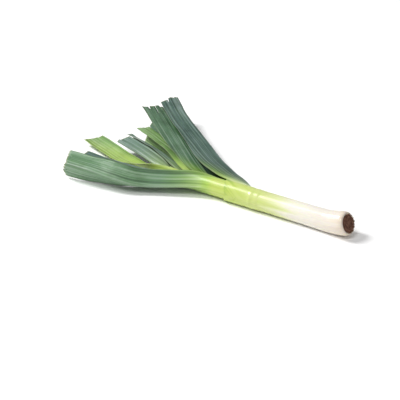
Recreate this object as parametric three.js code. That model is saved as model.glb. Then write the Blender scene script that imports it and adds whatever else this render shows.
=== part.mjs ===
// Leek (Allium porrum), trimmed and lying on its side. Millimetres, +Z up.
// The shank runs along +X towards the root; the fan of folded leaves opens towards -X,
// with one rank of leaves to -Y (front) and the other to +Y (back).
import * as THREE from 'three';

// ---- Driving dimensions, mm and degrees -------------------------------------------------
const SHANK_RADIUS = 14;          // girth of the straight white part
const AXIS_HEIGHT = SHANK_RADIUS; // the shank rests on the ground
const BASE_RADIUS = 15.6;         // slight swelling just above the root
const BASE_BEND = 14;             // degrees, the root end lifts off the ground
const BEND_LENGTH = 38;           // length over which the base bends
const TRIM_TILT = 6;              // extra tilt of the trimmed face
const SHOULDER_X = -135.6;        // where the outermost leaf parts from the shank
const CORE_RADIUS = 12.1;         // shank inside the outermost sheath
const CORE_END_X = -177.6;        // where the inner leaves take over
const PLATE_RADIUS = 11.4;        // brown root plate
const RECESS_DEPTH = 3;
const CLEARANCE = 0.35;           // between neighbouring pieces
const LEAF_THICKNESS = 0.55;
const CURL_FADE = 90;             // length over which a sheath unrolls past its mouth
const KEEL_ROUNDING = [0.3, 1.6];  // in the sheath, in the blade
const SQUARING = 70;              // length over which sections turn square to the keel

const SHANK_SEGMENTS = 32;
const ROW_STEP = 17;              // spacing of leaf sections, and closer about the mouth
const MOUTH_ROW_STEP = 2.9;
const MOUTH_REGION = [-8, 38];
const HALF_COLUMNS = 9;

// Each leaf: side (+1 back rank, -1 front rank), radius of its sheath, distance of the open
// mouth of the sheath and length over which it narrows to the blade past it, keel line from
// the shank to the tip, half widths at mouth and tip, how far past the mouth the fold opens,
// angles of the upper and lower halves off the level, roll about the keel and how far past the
// mouth it starts, and how much is left on (+) or cut off (-) at the tip from the lower margin
// over the keel to the upper one.
const LEAVES = {
  leaf_back_1: {
    side: 1, radius: 13.55, mouth: -178, narrowing: 26, delay: 4, color: 0x4f6f5c,
    keel: [[-136, 13.5, 14], [-147, 15, 14], [-180, 38, 14], [-202, 49, 14], [-216, 55, 16],
      [-240, 66, 20], [-291, 99, 27], [-324, 120, 31], [-353, 141, 34], [-391, 173, 38]],
    halfWidth: [38, 29], upper: -1, lower: 40, roll: 0, rollStart: 0, tip: [-6, 0, 3, 0, -12],
  },
  leaf_front_1: {
    side: -1, radius: 11.95, mouth: -198, narrowing: 24, delay: 14, color: 0x5b7b58,
    keel: [[-178, -11.9, 14], [-193, -12, 14], [-210, -13.6, 14], [-232, -21.3, 13.7],
      [-256, -34.5, 12.4], [-280, -48, 11.6], [-302, -61.5, 14.6], [-324, -69, 19],
      [-351, -73, 23], [-378, -75.5, 25], [-397, -77, 26]],
    halfWidth: [28, 26], upper: 66, lower: 12, roll: 52, rollStart: 60, tip: [4, 6, 0, 6, 10],
  },
  leaf_back_2: {
    side: 1, radius: 10.4, mouth: -203, narrowing: 34, delay: 4, color: 0x5f8258,
    keel: [[-178, 10.4, 14], [-204, 10.5, 14], [-220, 15.5, 14.2], [-238, 28.5, 14.1],
      [-258, 43, 15.5], [-288, 64, 20], [-321, 88, 24], [-402, 151, 29]],
    halfWidth: [22, 32], upper: 7, lower: 45, roll: 0, rollStart: 0, tip: [-6, 0, 0, -4, -3],
  },
  leaf_front_2: {
    side: -1, radius: 9.15, mouth: -213, narrowing: 34, delay: 4, color: 0x4d6b3c,
    keel: [[-178, -9.15, 14], [-212, -9.2, 14], [-229, -12.4, 14], [-252, -20, 14.3],
      [-290, -34, 15.5], [-340, -42, 17], [-401, -42, 18]],
    halfWidth: [21, 19], upper: 10, lower: 27, roll: 0, rollStart: 0, tip: [-6, 0, 0],
  },
  leaf_back_3: {
    side: 1, radius: 7.6, mouth: -220, narrowing: 34, delay: 0, color: 0x9db86a,
    keel: [[-178, 7.6, 14], [-220, 7.7, 14], [-238, 14, 14.15], [-266, 34, 16], [-310, 62.5, 18.6],
      [-384, 95, 21]],
    halfWidth: [22, 22], upper: 5, lower: 52, roll: 0, rollStart: 0, tip: [-6, 0, 2],
  },
  leaf_front_3: {
    side: -1, radius: 6.25, mouth: -231, narrowing: 34, delay: 0, color: 0xb9cf73,
    keel: [[-178, -6.25, 14], [-230, -6.3, 14], [-250, -10, 13.2], [-278, -10, 10.8], [-318, -1, 8],
      [-368, 13, 7], [-444, 40, 8]],
    halfWidth: [16, 14], upper: 88, lower: 75, roll: -90, rollStart: 0, tip: [-4, 0, 2],
  },
  leaf_back_4: {
    side: 1, radius: 4.8, mouth: -238, narrowing: 34, delay: 0, color: 0x6f9160,
    keel: [[-178, 4.8, 14], [-236, 4.9, 14], [-255, 10, 14.1], [-280, 23, 15.1], [-330, 46, 16],
      [-394, 68, 15]],
    halfWidth: [14, 12], upper: 20, lower: 10, roll: 0, rollStart: 0, tip: [0, 0, 0],
  },
  leaf_heart: {
    side: -1, radius: 3.35, mouth: -246, narrowing: 34, delay: 0, color: 0x7f9a7a,
    keel: [[-178, -3.35, 14], [-241, -3.4, 14], [-262, -4, 14.5], [-285, -1, 15.5], [-310, 5.5, 16.8],
      [-345, 18, 18], [-398, 37, 17]],
    halfWidth: [15, 17], upper: 20, lower: 10, roll: 0, rollStart: 0, tip: [-6, 0, -8],
  },
};

// ---- Small helpers ----------------------------------------------------------------------
const rad = THREE.MathUtils.degToRad;
const ease = (x) => THREE.MathUtils.smoothstep(x, 0, 1);
const lerp = THREE.MathUtils.lerp;

// Value of a list of evenly spaced numbers at position 0..1.
function along(list, position) {
  const place = THREE.MathUtils.clamp(position, 0, 1) * (list.length - 1);
  const start = Math.min(Math.floor(place), list.length - 2);
  return lerp(list[start], list[start + 1], place - start);
}

function meshFrom(points, triangles, name, color) {
  const geometry = new THREE.BufferGeometry();
  const positions = points.flatMap((point) => [point.x, point.y, point.z]);
  geometry.setAttribute('position', new THREE.Float32BufferAttribute(positions, 3));
  geometry.setIndex(triangles);
  geometry.computeVertexNormals();
  const material = new THREE.MeshStandardMaterial({ color, roughness: 0.6, metalness: 0 });
  const mesh = new THREE.Mesh(geometry, material);
  mesh.name = name;
  return mesh;
}

// Signed volume of a triangle list, used to turn every body's faces outward.
function signedVolume(points, triangles) {
  let volume = 0;
  for (let i = 0; i < triangles.length; i += 3) {
    const [a, b, c] = [points[triangles[i]], points[triangles[i + 1]], points[triangles[i + 2]]];
    volume += a.dot(new THREE.Vector3().crossVectors(b, c)) / 6;
  }
  return volume;
}

function outwardMesh(points, triangles, name, color) {
  if (signedVolume(points, triangles) < 0) triangles.reverse();
  return meshFrom(points, triangles, name, color);
}

// ---- Round bodies: rings of points about the bent axis of the shank -----------------------
// Station 0 is the trimmed root face, negative stations run towards the leaves.
function axisFrame(station) {
  const straight = new THREE.Vector3(station, 0, AXIS_HEIGHT);
  const past = station + BEND_LENGTH;
  if (past <= 0) return { centre: straight, tilt: 0 };
  const bend = rad(BASE_BEND);
  const radius = BEND_LENGTH / bend;
  const angle = past / radius;
  const centre = new THREE.Vector3(
    -BEND_LENGTH + radius * Math.sin(angle), 0, AXIS_HEIGHT + radius * (1 - Math.cos(angle)));
  return { centre, tilt: angle };
}

function ring(station, radiusAt, segments, extraTilt = 0) {
  const { centre, tilt } = axisFrame(station);
  const lean = tilt + extraTilt;
  const up = new THREE.Vector3(-Math.sin(lean), 0, Math.cos(lean));
  const side = new THREE.Vector3(0, 1, 0);
  return Array.from({ length: segments }, (_, k) => {
    const angle = (2 * Math.PI * k) / segments;
    const radius = radiusAt(angle);
    return centre.clone()
      .addScaledVector(up, radius * Math.sin(angle))
      .addScaledVector(side, radius * Math.cos(angle));
  });
}

function ringBody(rings, firstPole, lastPole, name, color) {
  const segments = rings[0].length;
  const points = rings.flat();
  const first = points.push(firstPole) - 1;
  const last = points.push(lastPole) - 1;
  const triangles = [];
  const lastRing = (rings.length - 1) * segments;
  for (let k = 0; k < segments; k += 1) {
    const next = (k + 1) % segments;
    for (let r = 0; r < rings.length - 1; r += 1) {
      const a = r * segments + k;
      const b = r * segments + next;
      triangles.push(a, b, b + segments, a, b + segments, a + segments);
    }
    triangles.push(first, next, k, last, lastRing + k, lastRing + next);
  }
  return outwardMesh(points, triangles, name, color);
}

function makeShank() {
  const round = (radius) => () => radius;
  const tilt = rad(TRIM_TILT);
  const rows = [
    [-RECESS_DEPTH, PLATE_RADIUS + CLEARANCE, tilt],
    [0, PLATE_RADIUS + CLEARANCE, tilt],
    [0, BASE_RADIUS - 1.6, tilt],
    [-1.2, BASE_RADIUS - 0.5, tilt],
    [-5, BASE_RADIUS, tilt * 0.7],
    [-12, BASE_RADIUS - 0.3, tilt * 0.3],
    [-22, BASE_RADIUS - 1, 0],
    [-34, SHANK_RADIUS + 0.1, 0],
    [-60, SHANK_RADIUS - 0.3, 0],
    [-100, SHANK_RADIUS - 0.2, 0],
    [SHOULDER_X, SHANK_RADIUS, 0],
    [SHOULDER_X, CORE_RADIUS, 0],
    [CORE_END_X, CORE_RADIUS, 0],
  ];
  const rings = rows.map(([station, radius, lean]) => ring(station, round(radius), SHANK_SEGMENTS, lean));
  const recessFloor = axisFrame(-RECESS_DEPTH).centre;
  const coreEnd = axisFrame(CORE_END_X).centre;
  return ringBody(rings, recessFloor, coreEnd, 'shank', 0xe9ecd2);
}

// Brown plate with clipped root stubs round its rim.
function makeRootPlate() {
  const tilt = rad(TRIM_TILT);
  const stub = (height) => (angle) => PLATE_RADIUS + height * (0.55 + 0.45 * Math.cos(12 * angle));
  const rows = [
    [-RECESS_DEPTH + CLEARANCE, () => PLATE_RADIUS - 0.4],
    [CLEARANCE, () => PLATE_RADIUS],
    [CLEARANCE + 0.1, stub(1.6)],
    [CLEARANCE + 1.3, stub(1.3)],
    [CLEARANCE + 1.9, () => PLATE_RADIUS * 0.8],
    [CLEARANCE + 1.5, () => PLATE_RADIUS * 0.4],
  ];
  const rings = rows.map(([station, radiusAt]) => ring(station, radiusAt, 48, tilt));
  const back = axisFrame(-RECESS_DEPTH + CLEARANCE).centre;
  const face = axisFrame(CLEARANCE + 1.4).centre;
  return ringBody(rings, back, face, 'root_plate', 0x6b4c3a);
}

// ---- Leaves -----------------------------------------------------------------------------
// The section starts at the keel and turns: as a closed drop round the sheath below the mouth,
// and as an open fold past it.
function leafShape(spec) {
  const curve = new THREE.CatmullRomCurve3(
    spec.keel.map((point) => new THREE.Vector3(...point)), false, 'catmullrom', 0.5);
  curve.arcLengthDivisions = 600;
  const length = curve.getLength();
  const samples = 400;
  const keelAt = (distance) => {
    const position = THREE.MathUtils.clamp(distance / length, 0, 1);
    const point = curve.getPointAt(position);
    const tangent = curve.getTangentAt(position);
    return { point: point.addScaledVector(tangent, distance - position * length), tangent };
  };
  let mouthDistance = 0;
  for (let i = 0; i <= samples; i += 1) {
    if (keelAt((i / samples) * length).point.x > spec.mouth) mouthDistance = (i / samples) * length;
  }
  // How far the keel has come away from the axis of the shank, never going back.
  const offsets = [];
  for (let i = 0; i <= samples; i += 1) {
    const offset = Math.abs(keelAt((i / samples) * length).point.y);
    offsets.push(Math.max(offset, spec.radius, offsets[i - 1] ?? 0));
  }
  const offsetAt = (distance) => along(offsets, distance / length);

  return { spec, length, keelAt, mouthDistance, offsetAt };
}

// Point of the leaf's middle surface; across runs from -1 (lower margin) to +1 (upper margin).
function leafPoint(shape, distance, across) {
  const { spec, length, mouthDistance } = shape;
  const { point, tangent } = shape.keelAt(distance);
  // Drop whose flat sides touch the sheath circle and meet at the keel.
  const offset = shape.offsetAt(distance);
  const dropAngle = Math.asin(spec.radius / offset);
  const flat = Math.sqrt(offset ** 2 - spec.radius ** 2);
  const arc = spec.radius * (Math.PI / 2 + dropAngle);
  const past = distance - mouthDistance;
  const progress = ease((past - spec.delay) / (0.7 * (length - mouthDistance)));
  const target = rad(across >= 0 ? spec.upper : spec.lower);
  const angle = lerp(dropAngle, target, progress);
  const curl = 1 - ease(past / CURL_FADE);
  const blade = lerp(spec.halfWidth[0], spec.halfWidth[1], progress);
  const width = lerp((flat + arc) * 0.985, blade, ease(past / spec.narrowing));

  const rounding = lerp(...KEEL_ROUNDING, progress);
  const steps = 40;
  const step = (width * Math.abs(across)) / steps;
  let inward = 0;
  let rise = 0;
  for (let i = 0; i < steps; i += 1) {
    const walked = (i + 0.5) * step;
    const wrap = THREE.MathUtils.clamp((walked - flat) / arc, 0, 1) * (Math.PI / 2 + dropAngle);
    const turn = (Math.PI / 2 - angle) * (1 - Math.exp(-walked / rounding)) + curl * wrap;
    inward += Math.sin(turn) * step;
    rise += Math.cos(turn) * step * Math.sign(across);
  }

  const course = new THREE.Vector3(-1, 0, 0).lerp(tangent, ease(past / SQUARING)).normalize();
  const up = new THREE.Vector3(0, 0, 1).addScaledVector(course, -course.z).normalize();
  const out = new THREE.Vector3().crossVectors(up, course);
  if (out.y * spec.side < 0) out.negate();
  const roll = rad(spec.roll) * ease((past - spec.rollStart) / (0.7 * (length - mouthDistance)));
  const outward = out.clone().multiplyScalar(Math.cos(roll)).addScaledVector(up, Math.sin(roll));
  const upward = up.clone().multiplyScalar(Math.cos(roll)).addScaledVector(out, -Math.sin(roll));
  return point.addScaledVector(upward, rise).addScaledVector(outward, -inward);
}

// Distances of the sections along the keel: close together where the sheath opens.
function sectionDistances(shape) {
  const marks = MOUTH_REGION.map((past) => Math.max(shape.mouthDistance + past, 0));
  const distances = [0];
  const fill = (end, spacing) => {
    const start = distances.at(-1);
    const count = Math.ceil((end - start) / spacing);
    for (let i = 1; i <= count; i += 1) distances.push(lerp(start, end, i / count));
  };
  fill(marks[0], 2 * ROW_STEP);
  fill(marks[1], MOUTH_ROW_STEP);
  fill(shape.length, ROW_STEP);
  return { distances, bladeStart: marks[1] };
}

function makeLeaf(name, spec) {
  const shape = leafShape(spec);
  const { distances, bladeStart } = sectionDistances(shape);
  const rows = distances.length;
  const columns = 2 * HALF_COLUMNS + 1;
  const middle = [];
  for (const base of distances) {
    for (let c = 0; c < columns; c += 1) {
      const across = c / HALF_COLUMNS - 1;
      const cut = along(spec.tip, (across + 1) / 2);
      const share = Math.max(base - bladeStart, 0) / (shape.length - bladeStart);
      middle.push(leafPoint(shape, base + cut * share, across));
    }
  }
  const at = (r, c) => middle[r * columns + c];
  const offsets = middle.map((_, index) => {
    const r = Math.floor(index / columns);
    const c = index % columns;
    const down = at(Math.min(r + 1, rows - 1), c).clone().sub(at(Math.max(r - 1, 0), c));
    const over = at(r, Math.min(c + 1, columns - 1)).clone().sub(at(r, Math.max(c - 1, 0)));
    return down.cross(over).setLength(LEAF_THICKNESS / 2);
  });
  const front = middle.map((point, i) => point.clone().add(offsets[i]));
  const back = middle.map((point, i) => point.clone().sub(offsets[i]));
  const points = front.concat(back);
  const shift = middle.length;
  const triangles = [];
  const quad = (a, b, c, d) => triangles.push(a, b, c, a, c, d);
  for (let r = 0; r < rows - 1; r += 1) {
    for (let c = 0; c < columns - 1; c += 1) {
      const a = r * columns + c;
      quad(a, a + 1, a + columns + 1, a + columns);
      quad(shift + a, shift + a + columns, shift + a + columns + 1, shift + a + 1);
    }
    const left = r * columns;
    const right = left + columns - 1;
    quad(left, left + columns, shift + left + columns, shift + left);
    quad(right, shift + right, shift + right + columns, right + columns);
  }
  const tip = (rows - 1) * columns;
  for (let c = 0; c < columns - 1; c += 1) {
    quad(c, shift + c, shift + c + 1, c + 1);
    quad(tip + c, tip + c + 1, shift + tip + c + 1, shift + tip + c);
  }
  return outwardMesh(points, triangles, name, spec.color);
}

// ---- Assembly ---------------------------------------------------------------------------
const plant = new THREE.Group();
plant.add(makeRootPlate(), makeShank());
for (const [name, spec] of Object.entries(LEAVES)) plant.add(makeLeaf(name, spec));
const leek = new THREE.Group();
leek.name = 'leek';
leek.add(plant);

// The origin is the middle of the footprint, on the ground.
const box = new THREE.Box3().setFromObject(plant);
const centre = box.getCenter(new THREE.Vector3());
plant.position.set(-centre.x, -centre.y, -box.min.z);

export default leek;
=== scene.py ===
import math

import bpy
import numpy as np
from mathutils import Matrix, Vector


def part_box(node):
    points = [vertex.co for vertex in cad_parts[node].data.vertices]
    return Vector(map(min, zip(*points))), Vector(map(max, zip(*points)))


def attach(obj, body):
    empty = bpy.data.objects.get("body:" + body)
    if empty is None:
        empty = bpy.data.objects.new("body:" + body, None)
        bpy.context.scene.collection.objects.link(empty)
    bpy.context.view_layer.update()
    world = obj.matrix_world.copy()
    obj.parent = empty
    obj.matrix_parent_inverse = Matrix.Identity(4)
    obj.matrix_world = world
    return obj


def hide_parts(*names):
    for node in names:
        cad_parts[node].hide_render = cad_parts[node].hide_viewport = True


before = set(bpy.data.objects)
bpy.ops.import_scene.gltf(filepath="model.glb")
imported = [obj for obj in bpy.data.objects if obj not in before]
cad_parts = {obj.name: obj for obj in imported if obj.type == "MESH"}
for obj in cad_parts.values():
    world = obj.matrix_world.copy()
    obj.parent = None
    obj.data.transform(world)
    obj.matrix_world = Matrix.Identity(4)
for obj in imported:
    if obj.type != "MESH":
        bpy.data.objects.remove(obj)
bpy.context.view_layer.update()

MM = 0.001

# ---- Growing sizes, in millimetres and degrees ---------------------------------------------
AXIS_HEIGHT = 14.0          # the shank lies on the ground, so its axis is a radius high
BASE_BEND = 14.0            # the root end turns up a little
BEND_LENGTH = 38.0
TRIM_TILT = 6.0             # slant of the trimmed root face
SHANK_LENGTH = 178.0
SHANK_RADIUS = 14.0
CORE_END_X = -177.6         # inner end of the shank, from which the leaves stand out
CURL_FADE = 90.0            # length over which a sheath unrolls past its mouth
KEEL_ROUNDING = (0.3, 1.6)  # in the sheath, in the blade
SQUARING = 70.0             # length over which sections turn square to the keel
SHEATH_RISE_X = -130.0      # where the outer sheath has come out of the shank
GREENING_X = 128.0          # the outer skin starts to turn green this far from the root face
SPARE_LENGTH = 30.0         # the keel line goes on straight this far past the tip
CUT_START = 38.0            # past the mouth, from where the cut end shifts the sections
FRAY_LENGTH = 40.0          # length of the torn strips at the tip
NICK_LENGTH = 9.0
WALK_STEPS = 56             # steps in which a section is walked from its keel to its margin
SLIT_GAPE = 0.009           # share of the half width by which a slit opens

# The growing frame has its zero at the root face. The shank gives its place in the row frame.
shank_low, shank_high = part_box("shank")
PLACE = np.array([
    shank_low.x / MM - CORE_END_X,
    (shank_low.y + shank_high.y) / 2 / MM,
    shank_low.z / MM,
])

# Each leaf: rank (+1 back, -1 front), radius and mouth of its sheath, the length over which it
# narrows past the mouth and the delay before its fold opens, angles of its two halves off the
# level, roll about the keel and how far past the mouth that starts, keel line, half widths at
# mouth and tip, how much is left on (+) or cut off (-) at the tip from the lower margin to the
# upper one, length over which it turns full green, and slits torn into the cut end as (place
# from margin to margin, depth).
LEAVES = {
    "leaf_back_1": dict(
        side=1, radius=13.55, mouth=-178, narrowing=13, delay=4, upper=-1, lower=40, roll=0, roll_start=0,
        keel=[(-106, 13.0, 14), (-136, 13.5, 14), (-147, 15, 14), (-180, 38, 14), (-202, 49, 14),
              (-216, 55, 16), (-240, 66, 20), (-291, 99, 27), (-324, 120, 31), (-353, 141, 34),
              (-391, 173, 38)],
        half_width=(38, 29), tip=(-6, 0, 3, 0, -10), greening=135,
        slits=[(-0.35, 6), (0.6, 8)]),
    "leaf_front_1": dict(
        side=-1, radius=11.95, mouth=-200, narrowing=17, delay=14, upper=66, lower=12, roll=52,
        roll_start=60,
        keel=[(-160, -11.9, 14), (-178, -11.9, 14), (-193, -12, 14), (-210, -13.6, 14),
              (-232, -21.3, 13.7), (-256, -34.5, 12.4), (-280, -48, 11.6), (-302, -61.5, 14.6),
              (-324, -69, 19), (-351, -73, 23), (-378, -75.5, 25), (-397, -77, 26)],
        half_width=(28, 26), tip=(4, 6, 0, 6, 10), greening=75,
        slits=[(-0.5, 6), (0.55, 5)]),
    "leaf_back_2": dict(
        side=1, radius=10.4, mouth=-203, narrowing=26, delay=4, upper=7, lower=45, roll=0, roll_start=0,
        keel=[(-160, 10.4, 14), (-178, 10.4, 14), (-204, 10.5, 14), (-220, 15.5, 14.2),
              (-238, 28.5, 14.1), (-258, 43, 15.5), (-288, 64, 20), (-321, 88, 24), (-402, 151, 29)],
        half_width=(22, 33), tip=(-6, 0, 3, 0, 0), greening=120,
        slits=[(-0.5, 9), (0.2, 12), (0.42, 24), (0.72, 9)]),
    "leaf_front_2": dict(
        side=-1, radius=9.15, mouth=-213, narrowing=30, delay=4, upper=10, lower=27, roll=0, roll_start=0,
        keel=[(-160, -9.15, 14), (-178, -9.15, 14), (-212, -9.2, 14), (-229, -12.4, 14),
              (-252, -20, 14.3), (-290, -34, 15.5), (-340, -42, 17), (-401, -42, 18)],
        half_width=(21, 19), tip=(-6, 0, 0), greening=70,
        slits=[(-0.4, 9), (0.1, 14), (0.5, 8)]),
    "leaf_back_3": dict(
        side=1, radius=7.6, mouth=-220, narrowing=30, delay=0, upper=5, lower=52, roll=0, roll_start=0,
        keel=[(-160, 7.6, 14), (-178, 7.6, 14), (-220, 7.7, 14), (-238, 14, 14.15), (-266, 34, 16),
              (-310, 62.5, 18.6), (-384, 95, 21)],
        half_width=(22, 22), tip=(-6, 0, 2), greening=200, slits=[(0.35, 8), (-0.4, 10)]),
    "leaf_front_3": dict(
        side=-1, radius=6.25, mouth=-231, narrowing=30, delay=0, upper=88, lower=75, roll=-90, roll_start=0,
        keel=[(-160, -6.25, 14), (-178, -6.25, 14), (-230, -6.3, 14), (-250, -10, 13.2),
              (-278, -10, 10.8), (-318, -1, 8), (-368, 13, 7), (-444, 40, 8)],
        half_width=(16, 14), tip=(-4, 0, 2), greening=420, slits=[(-0.55, 5)]),
    "leaf_back_4": dict(
        side=1, radius=4.8, mouth=-238, narrowing=30, delay=0, upper=20, lower=10, roll=0, roll_start=0,
        keel=[(-160, 4.8, 14), (-178, 4.8, 14), (-236, 4.9, 14), (-255, 10, 14.1), (-280, 23, 15.1),
              (-330, 46, 16), (-394, 68, 15)],
        half_width=(14, 12), tip=(0, 0, 0), greening=110, slits=[(0.4, 10)]),
    "leaf_heart": dict(
        side=-1, radius=3.35, mouth=-246, narrowing=30, delay=0, upper=20, lower=10, roll=0, roll_start=0,
        keel=[(-160, -3.35, 14), (-178, -3.35, 14), (-241, -3.4, 14), (-262, -4, 14.5),
              (-285, -1, 15.5), (-310, 5.5, 16.8), (-345, 18, 18), (-398, 37, 17)],
        half_width=(15, 17), tip=(-6, 0, -8), greening=130, slits=[(0.25, 14), (-0.5, 8)]),
}


def ease(x):
    x = np.clip(x, 0.0, 1.0)
    return x * x * (3 - 2 * x)


def mix(a, b, t):
    return a + (b - a) * t


# ---- Meshes ---------------------------------------------------------------------------------
def make_object(name, verts, faces, attributes=None, uv=None):
    """A mesh object at the origin. verts are in millimetres in the growing frame."""
    mesh = bpy.data.meshes.new(name)
    mesh.from_pydata(((np.asarray(verts) + PLACE) * MM).tolist(), [], faces)
    for key, values in (attributes or {}).items():
        layer = mesh.attributes.new(key, "FLOAT", "POINT")
        layer.data.foreach_set("value", np.asarray(values, np.float32).ravel())
    if uv is not None:
        layer = mesh.uv_layers.new(name="grain")
        corners = np.array([loop.vertex_index for loop in mesh.loops])
        layer.data.foreach_set("uv", np.asarray(uv, np.float32)[corners].ravel())
    mesh.validate()
    obj = bpy.data.objects.new(name, mesh)
    bpy.context.scene.collection.objects.link(obj)
    for polygon in mesh.polygons:
        polygon.use_smooth = True
    return obj


def smooth_curve(points, per_span=60):
    """Catmull-Rom curve through the points, with its lengths and unit tangents."""
    p = np.array(points, float)
    p = np.vstack([2 * p[0] - p[1], p, 2 * p[-1] - p[-2]])
    rows = []
    for i in range(1, len(p) - 2):
        a, b, c, d = p[i - 1:i + 3]
        t = np.linspace(0, 1, per_span, endpoint=False)[:, None]
        rows.append(0.5 * (2 * b + (c - a) * t + (2 * a - 5 * b + 4 * c - d) * t ** 2
                           + (3 * b - a - 3 * c + d) * t ** 3))
    rows.append(p[-2:-1])
    curve = np.vstack(rows)
    heading = curve[-1] - curve[-12]
    heading /= np.linalg.norm(heading)
    curve = np.vstack([curve, curve[-1] + heading * SPARE_LENGTH])
    lengths = np.r_[0, np.cumsum(np.linalg.norm(np.diff(curve, axis=0), axis=1))]
    tangents = np.gradient(curve, lengths, axis=0)
    tangents /= np.linalg.norm(tangents, axis=1)[:, None]
    return curve, lengths, tangents


def frayed_grid(spec, length, mouth, rows, columns, rng):
    """Distance along and place across for each point of a leaf, with its end cut and torn.

    Returns the two grids, the lift of each torn strip, and the faces (row, column) torn away.
    """
    place = np.linspace(-1, 1, columns)
    slant = np.interp((place + 1) / 2, np.linspace(0, 1, len(spec["tip"])), spec["tip"])
    nicks = rng.normal(0, 0.7, columns)
    nicks = (nicks + np.roll(nicks, 1)) / 2
    edges = sorted(spec["slits"])
    strip = np.searchsorted([e[0] for e in edges], place)
    strip_reach = rng.uniform(-2.2, 1.5, len(edges) + 1)[strip]
    strip_lift = rng.uniform(-1.8, 1.8, len(edges) + 1)[strip]
    share = np.linspace(0, 1, rows)[:, None]
    s = share * length
    s = s + np.clip((s - mouth - CUT_START) / (length - mouth - CUT_START), 0, 1) * slant[None, :]
    s = s + ease((s - length + FRAY_LENGTH) / FRAY_LENGTH) * strip_reach[None, :]
    s = s + ease((s - length + NICK_LENGTH) / NICK_LENGTH) * nicks[None, :]
    a = np.repeat(place[None, :], rows, 0)
    lift = np.zeros_like(s)
    torn = set()
    for centre, depth in spec["slits"]:
        column = int((centre + 1) / 2 * (columns - 1))
        middle = (place[column] + place[column + 1]) / 2
        first = int((length - depth) / length * (rows - 1))
        torn |= {(r, column) for r in range(first, rows - 1)}
        open_up = np.clip((share * length - (length - depth)) / depth, 0, 1)
        gape = SLIT_GAPE * np.sign(place - middle) * np.exp(-np.abs(place - middle) / 0.12)
        a = a + gape[None, :] * open_up
        lift = np.maximum(lift, open_up * np.exp(-((place - middle) / 0.25) ** 2)[None, :])
    return s, np.clip(a, -1, 1), lift * strip_lift[None, :], torn


def leaf_surface(spec, rows, half_columns, rng):
    """Middle surface of a leaf: a closed drop round the sheath, then an open fold.

    Returns the points (rows, columns, 3), and for each its distance along the keel, its
    distance across, how far past the mouth it is, its strip lift, and the faces torn away.
    """
    curve, lengths, tangents = smooth_curve(spec["keel"])
    length = lengths[-1] - SPARE_LENGTH
    mouth = np.interp(-spec["mouth"], -curve[:, 0], lengths)
    # Where the sheath rises out of the shank, its keel may lie a little inside its radius.
    least = spec["radius"] - 0.5 * (curve[:, 0] > SHEATH_RISE_X)
    offsets = np.maximum.accumulate(np.maximum(np.abs(curve[:, 1]), least))
    s, across, lift, torn = frayed_grid(spec, length, mouth, rows, 2 * half_columns + 1, rng)
    a = np.abs(across)

    offset = np.interp(s, lengths, offsets)
    radius = np.minimum(spec["radius"], offset)
    drop = np.arcsin(np.clip(radius / offset, 0, 1))
    flat = np.sqrt(np.maximum(offset ** 2 - radius ** 2, 0))
    arc = radius * (np.pi / 2 + drop)
    past = s - mouth
    run = 0.7 * (length - mouth)
    progress = ease((past - spec["delay"]) / run)
    target = np.radians(np.where(across >= 0, spec["upper"], spec["lower"]))
    angle = mix(drop, target, progress)
    curl = 1 - ease(past / CURL_FADE)
    blade = mix(spec["half_width"][0], spec["half_width"][1], progress)
    width = mix(flat + arc, blade, ease(past / spec["narrowing"]))
    rounding = mix(KEEL_ROUNDING[0], KEEL_ROUNDING[1], progress)

    step = width * a / WALK_STEPS
    inward = np.zeros_like(s)
    rise = np.zeros_like(s)
    for i in range(WALK_STEPS):
        walked = (i + 0.5) * step
        wrap = np.clip((walked - flat) / arc, 0, 1) * (np.pi / 2 + drop)
        turn = (np.pi / 2 - angle) * (1 - np.exp(-walked / rounding)) + curl * wrap
        inward += np.sin(turn) * step
        rise += np.cos(turn) * step
    # Both margins of a closed sheath meet in one line.
    closed = ease(-past / 0.5) * (a > 0.9999)
    rise *= np.sign(across) * (1 - closed)

    def on_curve(table):
        return np.stack([np.interp(s, lengths, table[:, k]) for k in range(3)], -1)

    keel = on_curve(curve)
    course = mix(np.array([-1.0, 0, 0]), on_curve(tangents), ease(past / SQUARING)[..., None])
    course /= np.linalg.norm(course, axis=-1, keepdims=True)
    up = np.array([0, 0, 1.0]) - course * course[..., 2:3]
    up /= np.linalg.norm(up, axis=-1, keepdims=True)
    out = np.cross(up, course)
    out *= np.sign(out[..., 1:2] * spec["side"])
    roll = (np.radians(spec["roll"]) * ease((past - spec["roll_start"]) / run))[..., None]
    outward = out * np.cos(roll) + up * np.sin(roll)
    upward = up * np.cos(roll) - out * np.sin(roll)
    points = keel + upward * rise[..., None] - outward * inward[..., None]
    return points, s, width * across, past, lift, torn


def grid_faces(rows, columns, skip=()):
    faces = []
    for r in range(rows - 1):
        for c in range(columns - 1):
            if (r, c) in skip:
                continue
            k = r * columns + c
            faces.append((k, k + 1, k + columns + 1, k + columns))
    return faces


# ---- Node trees -----------------------------------------------------------------------------
MATH, VECTOR_MATH, RANGE = "ShaderNodeMath", "ShaderNodeVectorMath", "ShaderNodeMapRange"
NOISE, RAMP, MIX = "ShaderNodeTexNoise", "ShaderNodeValToRGB", "ShaderNodeMix"
ADD, SUBTRACT, MULTIPLY, DIVIDE, MULTIPLY_ADD, SINE, SCALE = (
    {"operation": word} for word in
    ("ADD", "SUBTRACT", "MULTIPLY", "DIVIDE", "MULTIPLY_ADD", "SINE", "SCALE"))
FLOAT, VECTORS, COLOURS = ({"data_type": word} for word in ("FLOAT", "FLOAT_VECTOR", "RGBA"))
FLAT = {"noise_dimensions": "2D"}

# Millimetres.
RIB_SPACING = 3.1
RIB_HEIGHT = 0.09
RIB_DRIFT = 1.5
SWAY_LENGTH = 1000 / 18
RIPPLE_HEIGHT = 4.0
RIPPLE_LENGTH = 38.0
RIPPLE_WIDTH = 25.0
WELD = 0.01                 # closes the seam of a sheath
SEAM = 0.002                # joins the two sides of a blade along its rim
ROOT_RADIUS = 0.55
ROOT_LENGTH = 1.7


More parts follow.
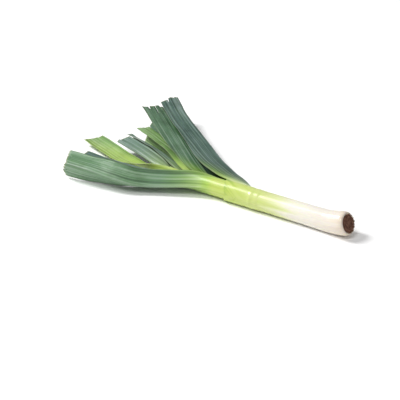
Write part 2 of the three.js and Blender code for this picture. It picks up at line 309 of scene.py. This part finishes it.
def per(size):
    """Pattern scale whose features are this many millimetres across."""
    return 1 / (size * MM)


def add(tree, kind, settings=None, *values, **named):
    """Adds a node with its settings. Inputs are given in order, or by name or number (i6).

    A value is a plain one, a socket, or a node, which stands for its first output. The setting
    "stops" fills a colour ramp.
    """
    node = tree.nodes.new(kind)
    for key, value in (settings or {}).items():
        if key != "stops":
            setattr(node, key, value)
            continue
        while len(node.color_ramp.elements) < len(value):
            node.color_ramp.elements.new(0.5)
        for element, (position, colour) in zip(node.color_ramp.elements, value):
            element.position = position
            element.color = srgb(colour)
    for key, value in [*enumerate(values), *named.items()]:
        if isinstance(key, str):
            numbered = key[0] == "i" and key[1:].isdigit()
            key = int(key[1:]) if numbered else key.replace("_", " ")
        if isinstance(value, bpy.types.Node):
            value = value.outputs[0]
        if isinstance(value, bpy.types.NodeSocket):
            tree.links.new(value, node.inputs[key])
        else:
            node.inputs[key].default_value = value
    return node


def set_inputs(modifier, values):
    """Sets a Geometry Nodes modifier's inputs by their socket identifiers."""
    for item in modifier.node_group.interface.items_tree:
        if item.item_type == "SOCKET" and item.in_out == "INPUT" and item.name in values:
            modifier[item.identifier] = values[item.name]


def new_tree(name, inputs):
    tree = bpy.data.node_groups.new(name, "GeometryNodeTree")
    tree.interface.new_socket("Geometry", in_out="INPUT", socket_type="NodeSocketGeometry")
    for label, kind, value in inputs:
        socket = tree.interface.new_socket(label, in_out="INPUT", socket_type=kind)
        if value is not None:
            socket.default_value = value
    tree.interface.new_socket("Geometry", in_out="OUTPUT", socket_type="NodeSocketGeometry")
    return tree


def blade_tree():
    """Turns a leaf's middle surface into a blade: ribs along it, then its thickness."""
    tree = new_tree("leaf_blade", [
        ("Rib Spacing", "NodeSocketFloat", RIB_SPACING * MM),
        ("Rib Height", "NodeSocketFloat", RIB_HEIGHT * MM),
        ("Ripple Height", "NodeSocketFloat", RIPPLE_HEIGHT * MM),
        ("Ripple Length", "NodeSocketFloat", RIPPLE_LENGTH * MM),
        ("Seed", "NodeSocketFloat", 1.0),
        ("Material", "NodeSocketMaterial", None),
    ])
    given = add(tree, "NodeGroupInput").outputs
    across, along, thick, free, lift = (
        add(tree, "GeometryNodeInputNamedAttribute", FLOAT, Name=label).outputs["Attribute"]
        for label in ("across", "along", "thick", "free", "lift"))
    welded = add(tree, "GeometryNodeMergeByDistance", Geometry=given["Geometry"], Distance=WELD * MM)
    normal = add(tree, "GeometryNodeInputNormal").outputs["Normal"]

    # Ribs run along the leaf, and drift a little so that they are not ruled lines.
    sway_place = add(tree, "ShaderNodeCombineXYZ", X=along, Y=given["Seed"])
    sway = add(tree, NOISE, Vector=sway_place, Scale=per(SWAY_LENGTH), Detail=1.0)
    shifted = add(tree, MATH, MULTIPLY_ADD, sway, RIB_DRIFT * MM, across)
    turns = add(tree, MATH, DIVIDE, shifted, given["Rib Spacing"])
    phase = add(tree, MATH, MULTIPLY, turns, 2 * math.pi)
    wave = add(tree, MATH, MULTIPLY, add(tree, MATH, SINE, phase), given["Rib Height"])
    ribs = add(tree, MATH, MULTIPLY, wave, free)

    # Slow ripples, stronger towards the free margins and the tip.
    spread = add(tree, MATH, DIVIDE, along, given["Ripple Length"])
    sideways = add(tree, MATH, MULTIPLY, across, per(RIPPLE_WIDTH))
    place = add(tree, "ShaderNodeCombineXYZ", X=spread, Y=sideways, Z=given["Seed"])
    noise = add(tree, NOISE, Vector=place, Scale=1.0, Detail=1.5)
    swing = add(tree, MATH, MULTIPLY, add(tree, MATH, SUBTRACT, noise, 0.5), given["Ripple Height"])
    raised = add(tree, MATH, ADD, add(tree, MATH, MULTIPLY_ADD, swing, free, ribs), lift)
    top = add(tree, MATH, MULTIPLY_ADD, thick, 0.5, raised)
    move = add(tree, VECTOR_MATH, SCALE, Vector=normal, Scale=top)
    outside = add(tree, "GeometryNodeSetPosition", Geometry=welded, Offset=move)

    # The inner side is the outer one let down by the thickness. Flipping turns all faces outwards.
    drop = add(tree, MATH, MULTIPLY, thick, -1.0)
    down = add(tree, VECTOR_MATH, SCALE, Vector=normal, Scale=drop)
    inside = add(tree, "GeometryNodeExtrudeMesh", {"mode": "FACES"}, Mesh=outside, Offset=down,
                 Individual=False)
    back = add(tree, "GeometryNodeFlipFaces", Mesh=outside)
    joined = add(tree, "GeometryNodeJoinGeometry", None, inside.outputs["Mesh"])
    tree.links.new(back.outputs[0], joined.inputs[0])
    whole = add(tree, "GeometryNodeMergeByDistance", Geometry=joined, Distance=SEAM * MM)
    turned = add(tree, "GeometryNodeFlipFaces", Mesh=whole)
    shaded = add(tree, "GeometryNodeSetShadeSmooth", Geometry=turned)
    real = add(tree, "GeometryNodeRealizeInstances", Geometry=shaded)
    finished = add(tree, "GeometryNodeSetMaterial", Geometry=real, Material=given["Material"])
    add(tree, "NodeGroupOutput", Geometry=finished)
    return tree


def grow(obj, tree, values, material):
    """Runs a Geometry Nodes tree on the object and keeps its plain mesh."""
    modifier = obj.modifiers.new("grow", "NODES")
    modifier.node_group = tree
    set_inputs(modifier, dict(values, Material=material))
    obj.update_tag()
    graph = bpy.context.evaluated_depsgraph_get()
    mesh = bpy.data.meshes.new_from_object(obj.evaluated_get(graph), depsgraph=graph)
    obj.modifiers.clear()
    old = obj.data
    obj.data = mesh
    mesh.name = obj.name
    bpy.data.meshes.remove(old)
    return obj


# ---- Materials ------------------------------------------------------------------------------
# Millimetres.
VEIN_SPACING = 1000 / 420
VEIN_LENGTH = 200.0
VEIN_HEIGHT = 0.3
BAND_SPACING = 1000 / 130
BAND_LENGTH = 250.0
CLOUD_SIZE = 31.25
GRIT_SIZE = 1000 / 900
ROOT_PATCH = 1000 / 220

COLOUR_DRIFT = 0.16         # how far bands shift the change from white to green
PALE_SHARE = 0.42           # of the way from the base colour to the palest vein
DEEP_SHARE = 0.6            # of the base colour left in the grooves
PALEST = 225                # sRGB level to which veins are lightened
BLOOM_COLOUR = "#7b9785"
DRY_COLOUR = "#a59d78"
ROOT_STOPS = [(0.35, "#4a3126"), (0.5, "#6a4838"), (0.64, "#8a6451"), (0.78, "#ab8a73")]


def srgb(code):
    """Linear colour of an sRGB hex value such as '#88aa55'."""
    parts = [int(code[i:i + 2], 16) / 255 for i in (1, 3, 5)]
    return tuple(p / 12.92 if p <= 0.04045 else ((p + 0.055) / 1.055) ** 2.4 for p in parts) + (1.0,)


def new_material(name):
    material = bpy.data.materials.new(name)
    material.use_nodes = True
    material.node_tree.nodes.clear()
    return material, material.node_tree


def grown_material(name, blade_stops, bloom, seed, wet=0.0):
    """Leek tissue from white sheath to green blade.

    The sheath is smooth, wet and a little see-through. The blade is a thick, cool green with
    a bluish wax bloom, paler veins along it and a pale line over the keel.
    """
    material, tree = new_material(name)
    # Green is 0 at the root face, 0.5 at the end of the shank and 1 where the blade is full green.
    green, keel_line, dry = (
        add(tree, "ShaderNodeAttribute", {"attribute_name": label}).outputs["Fac"]
        for label in ("green", "keel_line", "dry"))
    uv = add(tree, "ShaderNodeUVMap", {"uv_map": "grain"})

    # The veins are drawn coarse, so that they show at the distance of the camera.
    fine_place = add(tree, "ShaderNodeMapping", Vector=uv, Location=(seed, seed * 2.7, 0),
                     Scale=(per(VEIN_SPACING), per(VEIN_LENGTH), 1.0))
    fine = add(tree, NOISE, FLAT, Vector=fine_place, Scale=1.0, Detail=3.0, Roughness=0.6)
    broad_place = add(tree, "ShaderNodeMapping", Vector=uv, Location=(seed * 1.3, seed, 0),
                      Scale=(per(BAND_SPACING), per(BAND_LENGTH), 1.0))
    broad = add(tree, NOISE, FLAT, Vector=broad_place, Scale=1.0, Detail=2.0)
    coordinates = add(tree, "ShaderNodeTexCoord").outputs["Object"]
    cloud = add(tree, NOISE, Vector=coordinates, Scale=per(CLOUD_SIZE), Detail=4.0, Roughness=0.65)

    drift = add(tree, MATH, MULTIPLY, add(tree, MATH, SUBTRACT, broad, 0.5), COLOUR_DRIFT)
    place = add(tree, MATH, ADD, green, drift)
    stops = SHEATH_STOPS + blade_stops
    base = add(tree, RAMP, {"stops": stops}, place)
    pale = add(tree, RAMP, {"stops": [(p, lighter(c, PALE_SHARE)) for p, c in stops]}, place)
    deep = add(tree, RAMP, {"stops": [(p, darker(c, DEEP_SHARE)) for p, c in stops]}, place)

    # Veins of paler tissue, with darker grooves between them and darker clouds over both.
    strength = add(tree, RANGE, None, green, 0.45, 0.8, 0.1, 1.0)
    vein = add(tree, RANGE, None, fine, 0.5, 0.68, 0.0, 0.9)
    groove = add(tree, RANGE, None, fine, 0.48, 0.32, 0.0, 0.85)
    veined = add(tree, MIX, COLOURS, add(tree, MATH, MULTIPLY, vein, strength), i6=base, i7=pale)
    grooved = add(tree, MIX, COLOURS, add(tree, MATH, MULTIPLY, groove, strength),
                  i6=veined.outputs[2], i7=deep)
    in_blade = add(tree, RANGE, None, green, 0.5, 0.75, 0.0, 1.0)
    patch = add(tree, RANGE, None, cloud, 0.52, 0.72, 0.0, 0.4)
    patched = add(tree, MIX, COLOURS, add(tree, MATH, MULTIPLY, patch, in_blade),
                  i6=grooved.outputs[2], i7=deep)

    # Bloom: a bluish grey wax, thinner where it has been rubbed.
    wax_amount = add(tree, RANGE, None, cloud, 0.62, 0.35, 0.25 * bloom, bloom)
    wax_reach = add(tree, RANGE, None, green, 0.7, 1.0, 0.0, 1.0)
    bloomed = add(tree, MIX, COLOURS, add(tree, MATH, MULTIPLY, wax_amount, wax_reach),
                  i6=patched.outputs[2], i7=srgb(BLOOM_COLOUR))
    keeled = add(tree, MIX, COLOURS, keel_line, i6=bloomed.outputs[2], i7=pale)
    colour = add(tree, MIX, COLOURS, dry, i6=keeled.outputs[2], i7=srgb(DRY_COLOUR)).outputs[2]

    base_rough = add(tree, RANGE, None, green, 0.45, 0.7, 0.28, 0.36)
    # Clouds make the skin up to 0.07 rougher or smoother.
    smoothest = add(tree, MATH, SUBTRACT, base_rough, 0.07 + wet)
    rough = add(tree, MATH, MULTIPLY_ADD, cloud, 0.14, smoothest)
    height = add(tree, MATH, MULTIPLY, add(tree, MATH, ADD, fine, broad), strength)
    bump = add(tree, "ShaderNodeBump", Height=height, Strength=0.4, Distance=VEIN_HEIGHT * MM)
    shader = add(tree, "ShaderNodeBsdfPrincipled", Base_Color=colour, Roughness=rough, Normal=bump,
                 IOR=1.5, Subsurface_Weight=0.15, Subsurface_Radius=(0.7, 1.0, 0.35),
                 Subsurface_Scale=1.5 * MM)
    add(tree, "ShaderNodeOutputMaterial", Surface=shader)
    return material


def shade(code, change):
    """Colour with each of its parts, 0 to 255, changed by a function."""
    parts = [change(int(code[i:i + 2], 16)) for i in (1, 3, 5)]
    return "#" + "".join(f"{min(255, max(0, int(p))):02x}" for p in parts)


def lighter(code, share):
    return shade(code, lambda p: p + (PALEST - p) * share)


def darker(code, share):
    return shade(code, lambda p: p * share)


# From the root face to the end of the shank, which lies at 0.5.
SHEATH_STOPS = [(0.0, "#e2d3c2"), (0.05, "#e8dfd2"), (0.16, "#ece7dc"), (0.23, "#ebe8d4"),
                (0.28, "#dee4ac"), (0.34, "#ced88b"), (0.5, "#bed066")]
BLUE_GREEN = [(0.57, "#93b548"), (0.67, "#5c8236"), (0.84, "#3c5f38"), (1.0, "#305046")]
GRASS_GREEN = [(0.57, "#a0c352"), (0.68, "#769e40"), (0.84, "#4f793a"), (1.0, "#3c6540")]
BRIGHT_GREEN = [(0.57, "#a8c95a"), (0.68, "#84a84c"), (0.84, "#68904e"), (1.0, "#588054")]
LIGHT_GREEN = [(0.57, "#b4cf66"), (0.7, "#9bbb58"), (0.85, "#86aa53"), (1.0, "#749a54")]
GREY_GREEN = [(0.57, "#a2ba68"), (0.7, "#7a9463"), (0.85, "#5f7b5e"), (1.0, "#546f60")]


def root_material():
    """Corky root plate, trimmed with a knife and dried: matt fibrous brown with darker pits."""
    material, tree = new_material("dry corky root plate")
    coordinates = add(tree, "ShaderNodeTexCoord").outputs["Object"]
    grit = add(tree, NOISE, Vector=coordinates, Scale=per(GRIT_SIZE), Detail=4.0, Roughness=0.7)
    patches = add(tree, NOISE, Vector=coordinates, Scale=per(ROOT_PATCH), Detail=3.0)
    blend = add(tree, MATH, MULTIPLY, grit, 0.6)
    total = add(tree, MATH, MULTIPLY_ADD, patches, 0.5, blend)
    colour = add(tree, RAMP, {"stops": ROOT_STOPS}, total)
    bump = add(tree, "ShaderNodeBump", Height=grit, Strength=0.8, Distance=0.6 * MM)
    shader = add(tree, "ShaderNodeBsdfPrincipled", Base_Color=colour, Roughness=0.85, Normal=bump,
                 IOR=1.5, Specular_IOR_Level=0.3)
    add(tree, "ShaderNodeOutputMaterial", Surface=shader)
    return material


# ---- Shank and root plate ---------------------------------------------------------------------
SHANK_SEGMENTS = 160
ROOT_SEGMENTS = 90
ROOT_RINGS = [(11.2, 44), (9.6, 30), (7.4, 20), (4.6, 10)]     # radius, number of clipped roots


def axis_frame(station):
    """Place x, z and upward tilt of the shank's axis at stations from the root face."""
    station = np.asarray(station, float)
    past = np.maximum(station + BEND_LENGTH, 0)
    radius = BEND_LENGTH / math.radians(BASE_BEND)
    angle = past / radius
    x = np.where(past > 0, -BEND_LENGTH + radius * np.sin(angle), station)
    z = AXIS_HEIGHT + radius * (1 - np.cos(angle))
    return x, z, angle


def round_body(name, stations, radii, leans, segments, wobble=None):
    """Body of rings about the shank's axis, closed at both ends with a pole."""
    stations, radii, leans = map(np.asarray, (stations, radii, leans))
    angles = np.linspace(0, 2 * np.pi, segments, endpoint=False)
    x, z, tilt = axis_frame(stations)
    lean = tilt + leans
    rows = []
    for i in range(len(stations)):
        r = radii[i] + (wobble(i, angles) if wobble else 0)
        up = np.array([-math.sin(lean[i]), 0, math.cos(lean[i])])
        rows.append(np.array([x[i], 0, z[i]]) + np.outer(r * np.sin(angles), up)
                    + np.outer(r * np.cos(angles), [0, 1, 0]))
    verts = np.vstack(rows + [rows[0].mean(0, keepdims=True), rows[-1].mean(0, keepdims=True)])
    first, last = len(verts) - 2, len(verts) - 1
    faces = []
    for k in range(segments):
        n = (k + 1) % segments
        for i in range(len(stations) - 1):
            a, b = i * segments + k, i * segments + n
            faces.append((a, a + segments, b + segments, b))
        faces.append((first, k, n))
        end = (len(stations) - 1) * segments
        faces.append((last, end + n, end + k))
    # Faces look outwards whichever way the rings run.
    if stations[-1] > stations[0]:
        faces = [f[::-1] for f in faces]
    green = np.repeat(0.5 * np.clip(-stations / SHANK_LENGTH, 0, 1), segments)
    green = np.r_[green, green[0], green[-1]]
    turn = np.tile(angles * SHANK_RADIUS * MM, len(stations))
    run = np.repeat(-stations * MM, segments)
    uv = np.column_stack([np.r_[turn, 0, 0], np.r_[run, run[0], run[-1]]])
    return make_object(name, verts, faces, {"green": green}, uv)


def shank_piece():
    tilt = math.radians(TRIM_TILT)
    # Rings from the recess of the root face to the inner end: station, radius, lean.
    profile = [
        (-3.0, 10.9, tilt), (-0.6, 11.3, tilt), (0.1, 12.1, tilt), (0.35, 13.1, tilt), (0.1, 14.1, tilt),
        (-1.2, 15.0, tilt), (-3.5, 15.5, 0.85 * tilt), (-7, 15.6, 0.6 * tilt), (-12, 15.3, 0.3 * tilt),
        (-18, 14.9, 0.1 * tilt), (-26, 14.4, 0), (-36, 14.0, 0), (-50, 13.75, 0), (-70, 13.6, 0),
        (-95, 13.55, 0), (-118, 13.55, 0), (-130, 13.45, 0), (-142, 12.7, 0), (-152, 12.3, 0),
        (-176.8, 12.1, 0), (-177.4, 11.4, 0),
    ]
    # More rings between those of the profile, eased so that it shows no corners.
    stations, radii, leans = [], [], []
    for (s0, r0, l0), (s1, r1, l1) in zip(profile, profile[1:]):
        count = max(1, int(abs(s1 - s0) / 1.6))
        for i in range(count):
            t = i / count
            stations.append(mix(s0, s1, t))
            radii.append(mix(r0, r1, ease(t) if count > 3 else t))
            leans.append(mix(l0, l1, t))
    for values, last in zip((stations, radii, leans), profile[-1]):
        values.append(last)

    def wobble(i, angles):
        fade = ease((-stations[i] - 2) / 12)
        ribs = 0.05 * np.sin(31 * angles + 0.02 * stations[i]) + 0.04 * np.sin(47 * angles + 1.3)
        swell = (0.12 * np.sin(2 * angles + 0.03 * stations[i])
                 + 0.08 * np.sin(3 * angles - 0.05 * stations[i]))
        return fade * (ribs + swell)

    obj = round_body("white_shank", stations, radii, leans, SHANK_SEGMENTS, wobble=wobble)
    obj.data.materials.append(MATERIALS["shank"])
    return obj


def stub_tree():
    """Clipped roots: short tapered stalks standing out round the rim of the plate."""
    tree = new_tree("clipped_roots", [
        ("Root Radius", "NodeSocketFloat", ROOT_RADIUS * MM),
        ("Root Length", "NodeSocketFloat", ROOT_LENGTH * MM),
        ("Seed", "NodeSocketInt", 4),
        ("Material", "NodeSocketMaterial", None),
    ])
    given = add(tree, "NodeGroupInput").outputs
    narrow = add(tree, MATH, MULTIPLY, given["Root Radius"], 0.6)
    stalk = add(tree, "GeometryNodeMeshCone", {"fill_type": "TRIANGLE_FAN"}, Vertices=8,
                Radius_Bottom=given["Root Radius"], Radius_Top=narrow, Depth=given["Root Length"])
    growing = add(tree, "GeometryNodeInputNamedAttribute", VECTORS, Name="growing").outputs["Attribute"]
    wander = add(tree, "FunctionNodeRandomValue", VECTORS, Seed=given["Seed"],
                 Min=(-0.45, -0.45, -0.45), Max=(0.45, 0.45, 0.45))
    lean = add(tree, VECTOR_MATH, ADD, growing, wander)
    turn = add(tree, "FunctionNodeAlignRotationToVector", {"axis": "Z"}, Vector=lean)
    size = add(tree, "FunctionNodeRandomValue", FLOAT, Seed=given["Seed"])
    smallest, largest = [socket for socket in size.inputs if socket.enabled][:2]
    smallest.default_value = 0.55
    largest.default_value = 1.25
    scale = next(socket for socket in size.outputs if socket.enabled)
    placed = add(tree, "GeometryNodeInstanceOnPoints", Points=given["Geometry"], Instance=stalk,
                 Rotation=turn, Scale=scale)
    real = add(tree, "GeometryNodeRealizeInstances", Geometry=placed)
    shaded = add(tree, "GeometryNodeSetShadeSmooth", Geometry=real)
    finished = add(tree, "GeometryNodeSetMaterial", Geometry=shaded, Material=given["Material"])
    add(tree, "NodeGroupOutput", Geometry=finished)
    return tree


def root_piece():
    tilt = math.radians(TRIM_TILT)
    rng = np.random.default_rng(5)
    stations = [-2.6, 0.0, 0.5, 1.1, 1.5, 1.6, 1.5, 1.7, 1.9]
    radii = [10.4, 11.0, 11.3, 11.0, 10.2, 9.0, 7.0, 4.5, 2.0]
    bumps = rng.normal(0, 1, (len(stations), ROOT_SEGMENTS))
    bumps = (bumps + np.roll(bumps, 1, 1) + np.roll(bumps, -1, 1)) / 3

    def wobble(i, angles):
        return 0.28 * bumps[i] if i > 1 else 0

    obj = round_body("root_disc", stations, radii, [tilt] * len(stations), ROOT_SEGMENTS, wobble=wobble)
    places = np.array([v.co for v in obj.data.vertices])
    rings = np.repeat(np.arange(len(stations)), ROOT_SEGMENTS)
    pits = np.where(rings > 2, rng.normal(0, 0.22, len(rings)), 0) * MM
    places[:len(rings), 0] += pits
    obj.data.vertices.foreach_set("co", places.ravel())
    obj.data.materials.append(MATERIALS["root"])
    return obj


def stubs_piece():
    """Points round the rim of the root face, each of which takes a clipped root."""
    rng = np.random.default_rng(12)
    tilt = math.radians(TRIM_TILT)
    x, z, lean = axis_frame(np.array([0.6]))
    up = np.array([-math.sin(lean[0] + tilt), 0, math.cos(lean[0] + tilt)])
    ahead = np.array([math.cos(lean[0] + tilt), 0, math.sin(lean[0] + tilt)])
    points, normals = [], []
    for ring, count in ROOT_RINGS:
        for k in range(count):
            turn = 2 * math.pi * (k + rng.uniform(-0.35, 0.35)) / count
            spoke = up * math.sin(turn) + np.array([0, 1, 0]) * math.cos(turn)
            rim = (ring / ROOT_RINGS[0][0]) ** 3
            spot = np.array([x[0], 0, z[0]]) + spoke * (ring + rng.uniform(-0.4, 0.3))
            points.append(spot + ahead * (0.4 + 0.6 * (1 - rim)))
            normals.append(spoke * (0.15 + 0.7 * rim) + ahead)
    obj = make_object("clipped_roots", points, [])
    layer = obj.data.attributes.new("growing", "FLOAT_VECTOR", "POINT")
    layer.data.foreach_set("vector", np.asarray(normals, np.float32).ravel())
    sizes = {"Root Radius": ROOT_RADIUS * MM, "Root Length": ROOT_LENGTH * MM, "Seed": 4}
    return grow(obj, stub_tree(), sizes, MATERIALS["root"])


# ---- Leaves -----------------------------------------------------------------------------------
BLADE_ROWS = 190
BLADE_HALF_COLUMNS = 36


def leaf_piece(name, spec, seed):
    rng = np.random.default_rng(100 + seed)
    points, s, width, past, lift, torn = leaf_surface(spec, BLADE_ROWS, BLADE_HALF_COLUMNS, rng)
    rows, columns = s.shape
    place = np.linspace(-1, 1, columns)[None, :]
    near_tip = np.clip((s - (s[-1][None, :] - 2.5)) / 2.5, 0, 1)
    margin = np.clip((np.abs(place) - 0.965) / 0.035, 0, 1) * ease(past / 40)
    in_blade = ease(past / 70)
    thick = mix(0.55, mix(1.25, 0.6, np.abs(place) ** 0.7), in_blade) * (1 - 0.3 * near_tip)
    outward = np.hypot(points[..., 1], points[..., 2] - AXIS_HEIGHT) - spec["radius"]
    sheath = 0.5 * np.clip(-points[..., 0] / SHANK_LENGTH, 0, 1)
    turned = np.clip(np.maximum(past / spec["greening"], (outward - 1.5) / 32), 0, 1)
    turned = turned * ease((-points[..., 0] - GREENING_X) / 20)
    attributes = {
        "across": width * MM, "along": s * MM, "thick": thick * MM, "lift": lift * MM,
        "free": ease((past - 25) / 110) * (0.3 + 0.7 * np.abs(place)),
        "green": np.where(turned > 0, mix(sheath, 1.0, turned), sheath),
        "keel_line": np.exp(-(width / 0.9) ** 2) * 0.6 * ease((past - 10) / 40),
        "dry": np.maximum(near_tip ** 2 * 0.75, margin * 0.2),
    }
    uv = np.column_stack([(width * MM).ravel(), (s * MM).ravel()])
    faces = grid_faces(rows, columns, torn)
    if spec["side"] > 0:
        faces = [f[::-1] for f in faces]
    obj = make_object(name.replace("leaf", "blade"), points.reshape(-1, 3), faces, attributes, uv)
    sizes = {
        "Rib Spacing": RIB_SPACING * MM, "Rib Height": RIB_HEIGHT * MM, "Seed": float(seed),
        "Ripple Height": RIPPLE_HEIGHT * MM, "Ripple Length": RIPPLE_LENGTH * MM,
    }
    return grow(obj, BLADE, sizes, MATERIALS[name])


# ---- Build --------------------------------------------------------------------------------------
# Sheath: wet and smooth, so it shines. Outer blades: the grown wax bloom makes them bluish and dull.
# Inner blades: little wax, so they look brighter and more yellow. Root plate: dry and matt.
MATERIALS = {
    "shank": grown_material("wet waxy leek shank", BLUE_GREEN, 0.0, 0.0, wet=0.02),
    "root": root_material(),
}
LEAF_LOOKS = {
    "leaf_back_1": ("outer back blade with wax bloom", BLUE_GREEN, 0.22),
    "leaf_front_1": ("outer front blade with wax bloom", BRIGHT_GREEN, 0.2),
    "leaf_back_2": ("second back blade", GRASS_GREEN, 0.24),
    "leaf_front_2": ("second front blade, shaded", BLUE_GREEN, 0.15),
    "leaf_back_3": ("third back blade, young green", LIGHT_GREEN, 0.08),
    "leaf_front_3": ("third front blade, yellow green", LIGHT_GREEN, 0.0),
    "leaf_back_4": ("fourth back blade", GREY_GREEN, 0.2),
    "leaf_heart": ("heart blade, greyish", GREY_GREEN, 0.4),
}
for number, (name, (label, stops, bloom)) in enumerate(LEAF_LOOKS.items()):
    MATERIALS[name] = grown_material(label, stops, bloom, number * 3.7)

BLADE = blade_tree()
pieces = {"shank": shank_piece(), "root_plate": root_piece()}
for number, (name, spec) in enumerate(LEAVES.items()):
    pieces[name] = leaf_piece(name, spec, number + 1)

roots = stubs_piece()
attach(roots, "root")
for name, piece in pieces.items():
    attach(piece, "root")
    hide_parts(name)

# ---- Floor, light and camera ----------------------------------------------------------------------
FLOOR_REACH = 6.0           # metres

floor_mesh = bpy.data.meshes.new("floor")
floor_corners = [(-FLOOR_REACH, -FLOOR_REACH, 0), (FLOOR_REACH, -FLOOR_REACH, 0),
                 (FLOOR_REACH, FLOOR_REACH, 0), (-FLOOR_REACH, FLOOR_REACH, 0)]
floor_mesh.from_pydata(floor_corners, [], [(0, 1, 2, 3)])
floor = bpy.data.objects.new("floor", floor_mesh)
bpy.context.scene.collection.objects.link(floor)
board_material, board_tree = new_material("matt white board")
board = add(board_tree, "ShaderNodeBsdfPrincipled", Base_Color=srgb("#ffffff"), Roughness=0.9)
add(board_tree, "ShaderNodeOutputMaterial", Surface=board)
floor_mesh.materials.append(board_material)

world = bpy.data.worlds.new("soft studio")
bpy.context.scene.world = world
world.use_nodes = True
world.node_tree.nodes.clear()
sky = add(world.node_tree, "ShaderNodeBackground", Color=(1, 1, 1, 1), Strength=0.38)
add(world.node_tree, "ShaderNodeOutputWorld", Surface=sky)


def lamp(name, position, target, size, power):
    data = bpy.data.lights.new(name, "AREA")
    data.shape = "DISK"
    data.size = size
    data.energy = power
    obj = bpy.data.objects.new(name, data)
    obj.location = position
    obj.rotation_euler = (Vector(target) - Vector(position)).to_track_quat("-Z", "Y").to_euler()
    bpy.context.scene.collection.objects.link(obj)


def view_direction(azimuth, elevation):
    a, e = math.radians(azimuth), math.radians(elevation)
    return Vector((math.sin(a) * math.cos(e), -math.cos(a) * math.cos(e), math.sin(e)))


AZIMUTH, ELEVATION, DISTANCE = 35.4, 26.0, 1.988
target = Vector((np.array([-213.7, -21.0, 0.0]) + PLACE) * MM)
target.z = 0
camera_data = bpy.data.cameras.new("camera")
camera_data.lens = 135
camera_data.sensor_width = 36
camera = bpy.data.objects.new("camera", camera_data)
camera.location = target + view_direction(AZIMUTH, ELEVATION) * DISTANCE
camera.rotation_euler = (-view_direction(AZIMUTH, ELEVATION)).to_track_quat("-Z", "Y").to_euler()
bpy.context.scene.collection.objects.link(camera)
bpy.context.scene.camera = camera

lamp("key", target + view_direction(AZIMUTH - 110, 48) * 3.2, target, 1.1, 84)
lamp("fill", target + view_direction(AZIMUTH - 35, 55) * 3.6, target, 1.4, 36)
bpy.context.scene.view_settings.view_transform = "Standard"
